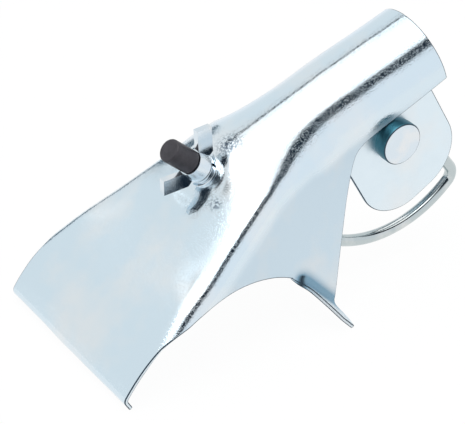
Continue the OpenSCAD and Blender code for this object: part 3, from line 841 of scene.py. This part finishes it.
def press_tree():
    tree, given, out = tree_with("press", {**SHEET_SIZES, "Softening": 0, "Unevenness": 0.0})
    flat = put(tree, "GeometryNodeInputPosition")
    u, v, q = (Field(tree, part) / MM for part in put(tree, "ShaderNodeSeparateXYZ", {0: flat}).outputs)
    sizes = SimpleNamespace(**{size_name(name): Field(tree, given[name]) for name in SHEET_SIZES})
    c, y, d = skin_point(sizes, u, calc("ABSOLUTE", v), q)
    x = (c * along_tongue.x + d * off_tongue.x) * MM + tongue_zero.x
    z = (c * along_tongue.z + d * off_tongue.z) * MM + tongue_zero.z
    place = put(tree, "ShaderNodeCombineXYZ", {"X": x, "Y": y * calc("SIGN", v) * MM, "Z": z}).outputs[0]
    supple = put(tree, "GeometryNodeInputNamedAttribute", {"Name": "supple"})
    soften = put(tree, "GeometryNodeBlurAttribute", {"Iterations": given["Softening"], "Weight": supple},
                 data_type="FLOAT_VECTOR")
    sharp = next(socket for socket in soften.inputs if socket.name == "Value" and socket.type == "VECTOR")
    tree.links.new(place, sharp)
    soft = next(socket for socket in soften.outputs if socket.type == "VECTOR")
    move = put(tree, "GeometryNodeSetPosition", {"Geometry": given["Geometry"], "Position": soft})
    lift = (Field(tree, noise(tree, flat, *WAVE_NOISE)) - 0.5) * Field(tree, given["Unevenness"])
    upright = put(tree, "GeometryNodeInputNormal")
    offset = put(tree, "ShaderNodeVectorMath", {0: upright, "Scale": lift}, operation="SCALE")
    sway = put(tree, "GeometryNodeSetPosition", {"Geometry": move, "Offset": offset})
    return end_tree(tree, sway, given["Finish"], out)


sheet_press = press_tree()
print("press tree has", len(sheet_press.nodes), "nodes")

# %% [markdown]
# ## From shapes to pieces
# Every piece ends the same way. Its modifiers are baked into a plain mesh, it is shaded smooth between its
# edges, and it rides on the body of the solid that it stands for. The turned pieces are half a profile
# swung round an axis, which a short lathe function draws exactly and with few faces.

# %% Helpers for pieces
EASE_SEGMENTS, EASE_ANGLE, SHARP_ANGLE = 2, 35, 35
body_of = {node: body for body, nodes in frame["record"]["behaviour"]["bodies"].items() for node in nodes}


def run_tree(obj, tree, values):
    """Nodes modifier with its inputs set by the sockets' identifiers."""
    modifier = obj.modifiers.new(tree.name, "NODES")
    modifier.node_group = tree
    for item in tree.interface.items_tree:
        if item.in_out == "INPUT" and item.name in values:
            modifier[item.identifier] = values[item.name]
    return obj


def ease_edges(obj, width, angle=EASE_ANGLE, index=-1, clamp=True):
    bevel = obj.modifiers.new("ease", "BEVEL")
    bevel.width = width * MM
    bevel.segments = EASE_SEGMENTS
    bevel.limit_method = "ANGLE"
    bevel.angle_limit = math.radians(angle)
    bevel.material = index
    bevel.use_clamp_overlap = clamp
    return obj


def baked(obj):
    """The object's evaluated shape as its plain mesh, with its modifiers gone."""
    mesh = bpy.data.meshes.new_from_object(obj.evaluated_get(bpy.context.evaluated_depsgraph_get()))
    obj.modifiers.clear()
    old, obj.data = obj.data, mesh
    bpy.data.meshes.remove(old)
    mesh.name = obj.name
    return obj


def stand_for(obj, node, sharp=SHARP_ANGLE):
    """Shade a finished piece, and let it ride and replace its node."""
    if sharp:
        obj.data.shade_smooth()
        obj.data.set_sharp_from_angle(angle=math.radians(sharp))
    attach(obj, body_of[node])
    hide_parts(node)
    return obj


# %% Turned shapes
BOLT_SLOPE = TONGUE_SLOPE + BOLT_LEAN
LATHE_SIDES, RIM_STEPS, ON_AXIS = 96, 5, 1e-6
up_slope = Vector((math.cos(BOLT_SLOPE), 0, math.sin(BOLT_SLOPE)))
bolt_turn = Matrix((up_slope, Vector((0, 1, 0)), bolt_axis)).transposed()
AT_BOLT = Matrix.Translation(bolt_seat) @ bolt_turn.to_4x4()


def on_bolt(z):
    """Place on the bolt's axis at z millimetres above its seat."""
    return AT_BOLT @ Matrix.Translation((0, 0, z * MM))


def on_pin(y, out):
    """Place on the cross pin's axis at y millimetres, with the local Z axis toward +Y or -Y."""
    spot = Vector((pin_centre.x, y * MM, pin_centre.z))
    return Matrix.Translation(spot) @ Matrix.Rotation(math.radians(-90 * out), 4, "X")


def mesh_from(made, name):
    """Plain mesh from a bmesh, which is freed."""
    mesh = bpy.data.meshes.new(name)
    made.to_mesh(mesh)
    made.free()
    return mesh


def lathe_mesh(name, profile, place, closed=False):
    """Solid of revolution from (radius, height) pairs in millimetres; a closed profile makes a ring."""
    made = bmesh.new()
    rings = []
    for r, z in profile:
        count = LATHE_SIDES if r > ON_AXIS else 1
        angles = [2 * math.pi * i / count for i in range(count)]
        rings.append([made.verts.new((r * MM * math.cos(a), r * MM * math.sin(a), z * MM)) for a in angles])
    for low, high in zip(rings, rings[1:] + rings[:1] if closed else rings[1:]):
        for i in range(LATHE_SIDES):
            ends = ((low, i), (low, i + 1), (high, i + 1), (high, i))
            corners = list(dict.fromkeys(ring[n % len(ring)] for ring, n in ends))
            if len(corners) > 2:
                made.faces.new(corners)
    bmesh.ops.recalc_face_normals(made, faces=made.faces)
    mesh = mesh_from(made, name)
    mesh.transform(place)
    return mesh


def quarter(r, z, size, steps):
    """Points of a rim rounded by size that ends at radius r and height z."""
    return [(r - size + size * math.cos(a), z - size + size * math.sin(a))
            for a in np.linspace(0, math.pi / 2, steps)]


def rounded(r0, z0, r1, z1, edge):
    """Half profile of a ring or disc: radii r0 to r1, heights z0 to z1, with rounded rims."""
    high = quarter(r1, z1, edge, RIM_STEPS)
    low = [(r, z0 + z1 - z) for r, z in reversed(high)]
    return [(r0, z0)] + low + high + [(r0, z1)]


print("bolt leans", round(math.degrees(BOLT_SLOPE), 1), "degrees")

# %% [markdown]
# ## The shroud
# The pressed skin becomes sheet metal by modifiers. A Weld merges points where rows run together at the notch's
# end, Solidify gives the skin its thickness, a Boolean punches the bolt's hole, and a narrow Bevel breaks the
# edges, which on real sheet catch a thin dark line. The rim has a finish of its own, and the broken edges take a
# dark finish that is painted shade standing in for that line.

# %% Pressing the shroud
HOLE_R, HOLE_HALF = 5.5, 12
SHEET_EASE, SHEET_EASE_ANGLE, SHEET_SHARP, WELD = 0.5, 50, 40, 0.2
SOFTENING, UNEVENNESS = 70, 1.4


def press_shroud():
    obj = linked("pressed_shroud", blank)
    for finish in (zinc_sheet, sheared_edge, painted_edge_shade):
        blank.materials.append(finish)
    run_tree(obj, sheet_press, {**SHEET_SIZES, "Softening": SOFTENING, "Unevenness": UNEVENNESS * MM,
                                "Finish": zinc_sheet})
    weld = obj.modifiers.new("weld", "WELD")
    weld.merge_threshold = WELD * MM
    wall = obj.modifiers.new("thickness", "SOLIDIFY")
    wall.thickness = SHEET * MM
    wall.offset = -1
    wall.use_even_offset = True
    wall.use_quality_normals = True
    wall.material_offset_rim = 1
    drill = [(0, -HOLE_HALF), (HOLE_R, -HOLE_HALF), (HOLE_R, HOLE_HALF), (0, HOLE_HALF)]
    hole = linked("hole", lathe_mesh("hole", drill, AT_BOLT))
    cut = obj.modifiers.new("bolt_hole", "BOOLEAN")
    cut.object = hole
    cut.solver = "FAST"
    # The bevel's faces take the dark edge finish: painted shade along the broken edges.
    baked(ease_edges(obj, SHEET_EASE, SHEET_EASE_ANGLE, index=2, clamp=False))
    bpy.data.objects.remove(hole)
    return stand_for(obj, "shroud", SHEET_SHARP)


shroud = press_shroud()
print("shroud", len(shroud.data.polygons), "faces, finishes", [m.name for m in shroud.data.materials], "box",
      [[round(v / MM, 1) for v in c] for c in (shroud.bound_box[0], shroud.bound_box[6])])

# %% [markdown]
# ## The bail
# The bail is one length of drawn wire bent into a loop that hangs on the pin's bush. A bent wire follows a
# path with the same round section everywhere, so a small Geometry Nodes tree turns the path into a curve
# and sweeps a circle along it.

# %% Wire path
WIRE_D, BAIL_Y, BUSH_GAP = 6.3, -18.3, 0.35
BUSH_R, BAIL_R, BAIL_CORNER, BAIL_HALF = 10.5, 62.0, 7.0, math.radians(46)
BOW_STEPS, CORNER_STEPS, WIRE_SIDES, WIRE_SHARP = 28, 16, 36, 60
bail_apex = BUSH_R + BUSH_GAP + WIRE_D / 2
bail_middle = BAIL_R - BAIL_CORNER
bail_lean = BAIL_HALF + math.pi / 2 - math.asin((bail_apex - BAIL_CORNER) / bail_middle)


def wire_arc(mid_x, mid_z, r, start, end, steps):
    """Points of an arc; angles run from straight down toward +X."""
    return [(mid_x + r * math.sin(a), mid_z - r * math.cos(a)) for a in np.linspace(start, end, steps)]


def bail_path():
    corner_x, corner_z = bail_middle * math.sin(BAIL_HALF), -bail_middle * math.cos(BAIL_HALF)
    half = wire_arc(0, 0, BAIL_R, 0, BAIL_HALF, BOW_STEPS)
    half += wire_arc(corner_x, corner_z, BAIL_CORNER, BAIL_HALF, bail_lean, CORNER_STEPS)[1:]
    half += wire_arc(0, 0, bail_apex, bail_lean, math.pi, CORNER_STEPS)
    loop = half + [(-x, z) for x, z in half[-2:0:-1]]
    mesh = bpy.data.meshes.new("bail_path")
    spots = [(pin_centre.x + x * MM, BAIL_Y * MM, pin_centre.z + z * MM) for x, z in loop]
    mesh.from_pydata(spots, [(i, (i + 1) % len(loop)) for i in range(len(loop))], [])
    return mesh


def wire_tree():
    tree, given, out = tree_with("drawn_wire", {"Wire Diameter": 0.006, "Sides": 32})
    path = put(tree, "GeometryNodeMeshToCurve", {"Mesh": given["Geometry"]})
    radius = Field(tree, given["Wire Diameter"]) / 2
    ring = put(tree, "GeometryNodeCurvePrimitiveCircle", {"Resolution": given["Sides"], "Radius": radius})
    sweep = put(tree, "GeometryNodeCurveToMesh", {"Curve": path, "Profile Curve": ring})
    return end_tree(tree, sweep, given["Finish"], out)


bail = linked("bent_bail", bail_path())
baked(run_tree(bail, wire_tree(), {"Wire Diameter": WIRE_D * MM, "Sides": WIRE_SIDES, "Finish": zinc_wire}))
stand_for(bail, "bail", WIRE_SHARP)
print("bail", len(bail.data.polygons), "faces")

# %% [markdown]
# ## Clamp bolt, spring washer and thread
# The spring washer is a square wire coiled for a little less than one turn, and the bolt's thread is a
# ridge coiled many times, so one coil tree makes both: a spiral with a four-sided profile. The bolt's shank
# and domed head are turned, and the square neck keeps the bolt from turning.

# %% Coil tree
COIL_SIZES = {"Turns": 1.0, "Radius": 0.006, "Rise": 0.001, "Width": 0.002, "Height": 0.002,
              "Profile Turn": 0.0, "Steps": 72}


def coil_tree():
    """Spiral swept with a unit square that is turned and then sized."""
    tree, given, out = tree_with("coil", COIL_SIZES)
    spiral = put(tree, "GeometryNodeCurveSpiral", {
        "Resolution": given["Steps"], "Rotations": given["Turns"], "Start Radius": given["Radius"],
        "End Radius": given["Radius"], "Height": given["Rise"]})
    upright = put(tree, "GeometryNodeSetCurveNormal", {"Curve": spiral}, mode="Z_UP")
    square = put(tree, "GeometryNodeCurvePrimitiveCircle", {"Resolution": 4, "Radius": math.sqrt(0.5)})
    turn = put(tree, "ShaderNodeCombineXYZ", {"Z": given["Profile Turn"]})
    size = put(tree, "ShaderNodeCombineXYZ", {"X": given["Width"], "Y": given["Height"]})
    turned = put(tree, "GeometryNodeTransform", {"Geometry": square, "Rotation": turn})
    sized = put(tree, "GeometryNodeTransform", {"Geometry": turned, "Scale": size})
    ends = {"Curve": upright, "Profile Curve": sized, "Fill Caps": True}
    sweep = put(tree, "GeometryNodeCurveToMesh", ends)
    return end_tree(tree, sweep, given["Finish"], out)


coil = coil_tree()


def coiled(name, finish, place, **sizes):
    """Coil as an object of its own; sizes name the coil tree's inputs."""
    values = {key.replace("_", " "): value for key, value in sizes.items()}
    obj = baked(run_tree(linked(name, bpy.data.meshes.new(name)), coil, {**values, "Finish": finish}))
    obj.data.transform(place)
    outward = bmesh.new()
    outward.from_mesh(obj.data)
    bmesh.ops.recalc_face_normals(outward, faces=outward.faces)
    outward.to_mesh(obj.data)
    outward.free()
    return obj


print("coil tree", len(coil.nodes), "nodes")

# %% Spring washer
WASHER_T, SPRING_T, SPRING_IN, SPRING_OUT = 1.6, 2.2, 5.35, 7.8
SPRING_WIRE, SPRING_LIFT, SPRING_RISE, SPRING_TURNS, SPRING_EASE = 1.6, 0.85, 0.55, 0.97, 0.18
SPLIT, SPLIT_HALF, SPRING_STEPS = math.radians(-60), 0.1, 96
spring_place = on_bolt(WASHER_T + SPRING_LIFT) @ Matrix.Rotation(SPLIT + SPLIT_HALF, 4, "Z")
spring = coiled("split_spring_washer", zinc_hardware, spring_place, Turns=SPRING_TURNS,
                Radius=(SPRING_IN + SPRING_OUT) / 2 * MM, Rise=SPRING_RISE * MM,
                Width=(SPRING_OUT - SPRING_IN) * MM, Height=SPRING_WIRE * MM, Profile_Turn=math.pi / 4,
                Steps=SPRING_STEPS)
stand_for(baked(ease_edges(spring, SPRING_EASE)), "spring_washer")
print("spring washer", len(spring.data.polygons), "faces")

# %% Heights along the bolt
BOLT_R, CORE_R, SHANK_R, PITCH, THREAD_SIZE = 5.0, 4.25, 4.9, 1.5, 1.06
HUB_H, CAP_LEN, CAP_R, CAP_END = 7.2, 16.0, 6.0, 1.5
SADDLE_T, SADDLE_GAP, JAW_GAP, NECK_LEN = 3.0, 0.8, 14.0, 2.1
HEAD_R, HEAD_H, DOME_R, DOME_RIM, DOME_STEPS = 12.0, 3.4, 23.4, 0.5, 12
NUT_GAP, CAP_GAP, HEAD_GAP = 0.05, 0.4, 0.1
cap_z = WASHER_T + SPRING_T + NUT_GAP + HUB_H + CAP_GAP
bolt_top = cap_z + CAP_LEN - CAP_END
saddle_z = -SHEET - SADDLE_GAP - JAW_GAP
neck_z = saddle_z - SADDLE_T - NECK_LEN
head_z = neck_z - HEAD_H - HEAD_GAP
print("bolt from", round(head_z, 1), "to", round(bolt_top, 1), "mm along its axis")

# %% Clamp bolt
TIP_EASE, BOX_EASE, HEAD_EASE, TURNED_SHARP = 0.8, 0.4, 0.4, 30
THREAD_START, THREAD_SHORT, THREAD_STEPS = 1.0, 3, 48
SHANK_IN, TAPER_START, TAPER_END, NECK_IN, NECK_SHORT = 1, 0.2, 0.9, 0.5, 0.6


def joined(name, meshes):
    """One mesh from several, with their own materials dropped."""
    made = bmesh.new()
    for mesh in meshes:
        made.from_mesh(mesh)
        bpy.data.meshes.remove(mesh)
    return mesh_from(made, name)


def box_mesh(low, high, place):
    made = bmesh.new()
    bmesh.ops.create_cube(made, size=1)
    for vert in made.verts:
        vert.co = Vector([(a + b) / 2 + (b - a) * t for a, b, t in zip(low, high, vert.co)]) * MM
    bmesh.ops.bevel(made, geom=made.edges[:], offset=BOX_EASE * MM, segments=EASE_SEGMENTS, affect="EDGES")
    mesh = mesh_from(made, "box")
    mesh.transform(place)
    return mesh


def thread_mesh():
    turns = (bolt_top - saddle_z - THREAD_SHORT) / PITCH
    size = THREAD_SIZE * MM
    thread = coiled("thread", satin_steel, on_bolt(saddle_z + THREAD_START), Turns=turns, Radius=CORE_R * MM,
                    Rise=turns * PITCH * MM, Width=size, Height=size, Profile_Turn=0.0, Steps=THREAD_STEPS)
    mesh = thread.data.copy()
    bpy.data.objects.remove(thread)
    return mesh


def clamp_bolt():
    shank = [(0, neck_z - SHANK_IN), (SHANK_R, neck_z - SHANK_IN), (SHANK_R, saddle_z + TAPER_START),
             (CORE_R, saddle_z + TAPER_END), (CORE_R, bolt_top - TIP_EASE), (CORE_R - TIP_EASE, bolt_top),
             (0, bolt_top)]
    dome = [(r, head_z + DOME_R - math.sqrt(DOME_R ** 2 - r ** 2))
            for r in np.linspace(1, HEAD_R - DOME_RIM, DOME_STEPS)]
    rim = [(HEAD_R, head_z + HEAD_H - DOME_RIM), (HEAD_R - HEAD_EASE, head_z + HEAD_H), (0, head_z + HEAD_H)]
    neck = box_mesh((-BOLT_R, -BOLT_R, neck_z - NECK_IN), (BOLT_R, BOLT_R, saddle_z - NECK_SHORT), AT_BOLT)
    mesh = joined("clamp_bolt_body", [
        lathe_mesh("shank", shank, AT_BOLT), lathe_mesh("dome", [(0, head_z)] + dome + rim, AT_BOLT), neck,
        thread_mesh()])
    mesh.materials.append(satin_steel)
    return linked("clamp_bolt_body", mesh)


bolt = stand_for(clamp_bolt(), "clamp_bolt", TURNED_SHARP)
print("bolt", len(bolt.data.polygons), "faces, thread of", PITCH, "mm pitch")

# %% [markdown]
# ## Washers, pin and cap
# These are turned or stamped round pieces with broken edges. Each is half a profile swung round its axis.
# The pin's ends have a neck that passes the arch's wall, and their sides are painted dark teal as a painted
# reflection of the shade under the wall, with a painted dark edge line on their rims. The cap is dipped vinyl, so
# its end is soft and its mouth has a small broken rim.

# %% Pin with its two ends
PIN_R, PIN_HEAD_R, PIN_HEAD_H = 6.0, 11.5, 8.0
PIN_NECK_R, PIN_NECK_H, PIN_PAST = 11.2, 2.5, 5
PIN_RIM, PIN_RIM_STEPS, GROOVE_IN, GROOVE_DEPTH, SHAFT_EASE = 0.9, 7, 1.6, 0.06, 0.3
WALL_IN = 24.2
END_FACE, RIM_FACE = 0.95, 0.6


def round_piece(name, node, finish, profile, place, closed=False):
    mesh = lathe_mesh(name, profile, place, closed)
    mesh.materials.append(finish)
    return stand_for(linked(name, mesh), node, TURNED_SHARP)


def pin_head():
    """The pin's round end: neck, side, rolled rim, then a shallow turned groove round an almost flat face."""
    neck = [(0, 0), (PIN_NECK_R, 0), (PIN_NECK_R, PIN_NECK_H), (PIN_HEAD_R, PIN_NECK_H)]
    rim = quarter(PIN_HEAD_R, PIN_HEAD_H, PIN_RIM, PIN_RIM_STEPS)
    return neck + rim + [(PIN_HEAD_R - GROOVE_IN, PIN_HEAD_H - GROOVE_DEPTH), (0, PIN_HEAD_H)]


def paint_pin_shade(obj):
    """Paint a pin's turned sides dark teal as a painted reflection of shade, its rims a painted dark edge line,
    and leave its end faces bright.
    """
    for finish in (painted_edge_shade, pin_side_painted_shade):
        obj.data.materials.append(finish)
    for face in obj.data.polygons:
        along = abs(face.normal.y)
        face.material_index = 0 if along > END_FACE else 1 if along > RIM_FACE else 2
    return obj


def cross_pin():
    head = lathe_mesh("head", pin_head(), on_pin(-WALL_IN, -1))
    length = 2 * WALL_IN + PIN_PAST
    shaft = lathe_mesh("shaft", rounded(0, 0, PIN_R, length, SHAFT_EASE), on_pin(-WALL_IN, 1))
    mesh = joined("cross_pin_body", [head, shaft])
    mesh.materials.append(zinc_hardware)
    return paint_pin_shade(stand_for(linked("cross_pin_body", mesh), "cross_pin", TURNED_SHARP))


cross_pin()
paint_pin_shade(round_piece("pin_cap", "pin_cap_far", zinc_hardware, pin_head(), on_pin(WALL_IN, 1)))
print("pin with ends of", 2 * PIN_HEAD_R, "mm")

# %% Rings and cap
CHEEK_T, GUIDE_Y, GUIDE_R, GUIDE_T, SPACER_R = 2.0, -14.45, 15.0, 2.0, 9.0
WASHER_R, WASHER_EASE, RING_EASE = 9.0, 0.3, 0.4
CAP_BORE, CAP_MOUTH, CAP_ROUND, CAP_STEPS = BOLT_R + 0.02, 0.25, 1.1, 8
PIN_HOLE = PIN_R + 0.05


def pin_ring(name, node, radius, start, end):
    """Ring on the pin between two places along it."""
    profile = rounded(PIN_HOLE, 0, radius, end - start, RING_EASE)
    return round_piece(name, node, satin_steel, profile, on_pin(start, 1), True)


cap = [(CAP_BORE, 0), (CAP_R - CAP_MOUTH, 0), (CAP_R, CAP_MOUTH)]
cap += quarter(CAP_R, CAP_LEN, CAP_ROUND, CAP_STEPS)
cap += [(0, CAP_LEN), (0, CAP_LEN - CAP_END), (CAP_BORE, CAP_LEN - CAP_END)]
washer = rounded(SPRING_IN, 0, WASHER_R, WASHER_T, WASHER_EASE)
round_piece("washer", "flat_washer", zinc_hardware, washer, AT_BOLT, True)
round_piece("end_cap", "bolt_cap", cap_vinyl, cap, on_bolt(cap_z), True)
pin_ring("bush", "bail_bush", BUSH_R, CHEEK_T - WALL_IN, GUIDE_Y)
pin_ring("guide", "guide_washer", GUIDE_R, GUIDE_Y, GUIDE_Y + GUIDE_T)
pin_ring("spacer", "spacer_far", SPACER_R, GUIDE_Y + GUIDE_T, WALL_IN - CHEEK_T)
print("five round pieces; the cap reaches", round(cap_z + CAP_LEN, 1), "mm above the seat")

# %% [markdown]
# ## Wing nut, cheek plates and saddle
# The CAD solids of these already have the right shape with sharp edges. Real edges are rounded by casting,
# stamping and plating, so each gets a copy whose loose triangles are merged, whose flat faces are made
# whole, and whose edges are eased by a Bevel. A Weighted Normal then keeps the flat faces flat in
# reflections.

# %% Eased copies
MERGE, FLAT_ANGLE, FLAT_WEIGHT = 1e-6, math.radians(1), 100
COPY_EASE, DISC_EASE = 0.5, 0.4


def eased_copy(name, node, finish, width, rim=None):
    made = bmesh.new()
    made.from_mesh(frame["nodes"][node].data)
    bmesh.ops.remove_doubles(made, verts=made.verts, dist=MERGE)
    bmesh.ops.dissolve_limit(made, angle_limit=FLAT_ANGLE, verts=made.verts, edges=made.edges)
    mesh = mesh_from(made, name)
    if "custom_normal" in mesh.attributes:
        mesh.attributes.remove(mesh.attributes["custom_normal"])
    mesh.shade_smooth()
    mesh.materials.append(finish)
    if rim:
        mesh.materials.append(rim)
    obj = ease_edges(linked(name, mesh), width, index=1 if rim else -1)
    flatten = obj.modifiers.new("flat_faces", "WEIGHTED_NORMAL")
    flatten.weight = FLAT_WEIGHT
    return stand_for(baked(obj), node, None)


eased = [eased_copy("cast_wing_nut", "wing_nut", zinc_hardware, COPY_EASE),
         # The cheeks' bevel faces take the dark edge finish, which is painted shade.
         eased_copy("cheek_near", "cheek_plate_near", cheek_zinc, COPY_EASE, painted_edge_shade),
         eased_copy("cheek_far", "cheek_plate_far", cheek_zinc, COPY_EASE, painted_edge_shade),
         eased_copy("saddle", "clamp_saddle", satin_steel, COPY_EASE),
         eased_copy("saddle_disc", "saddle_washer", satin_steel, DISC_EASE)]
print("eased", [(obj.name, len(obj.data.polygons)) for obj in eased])
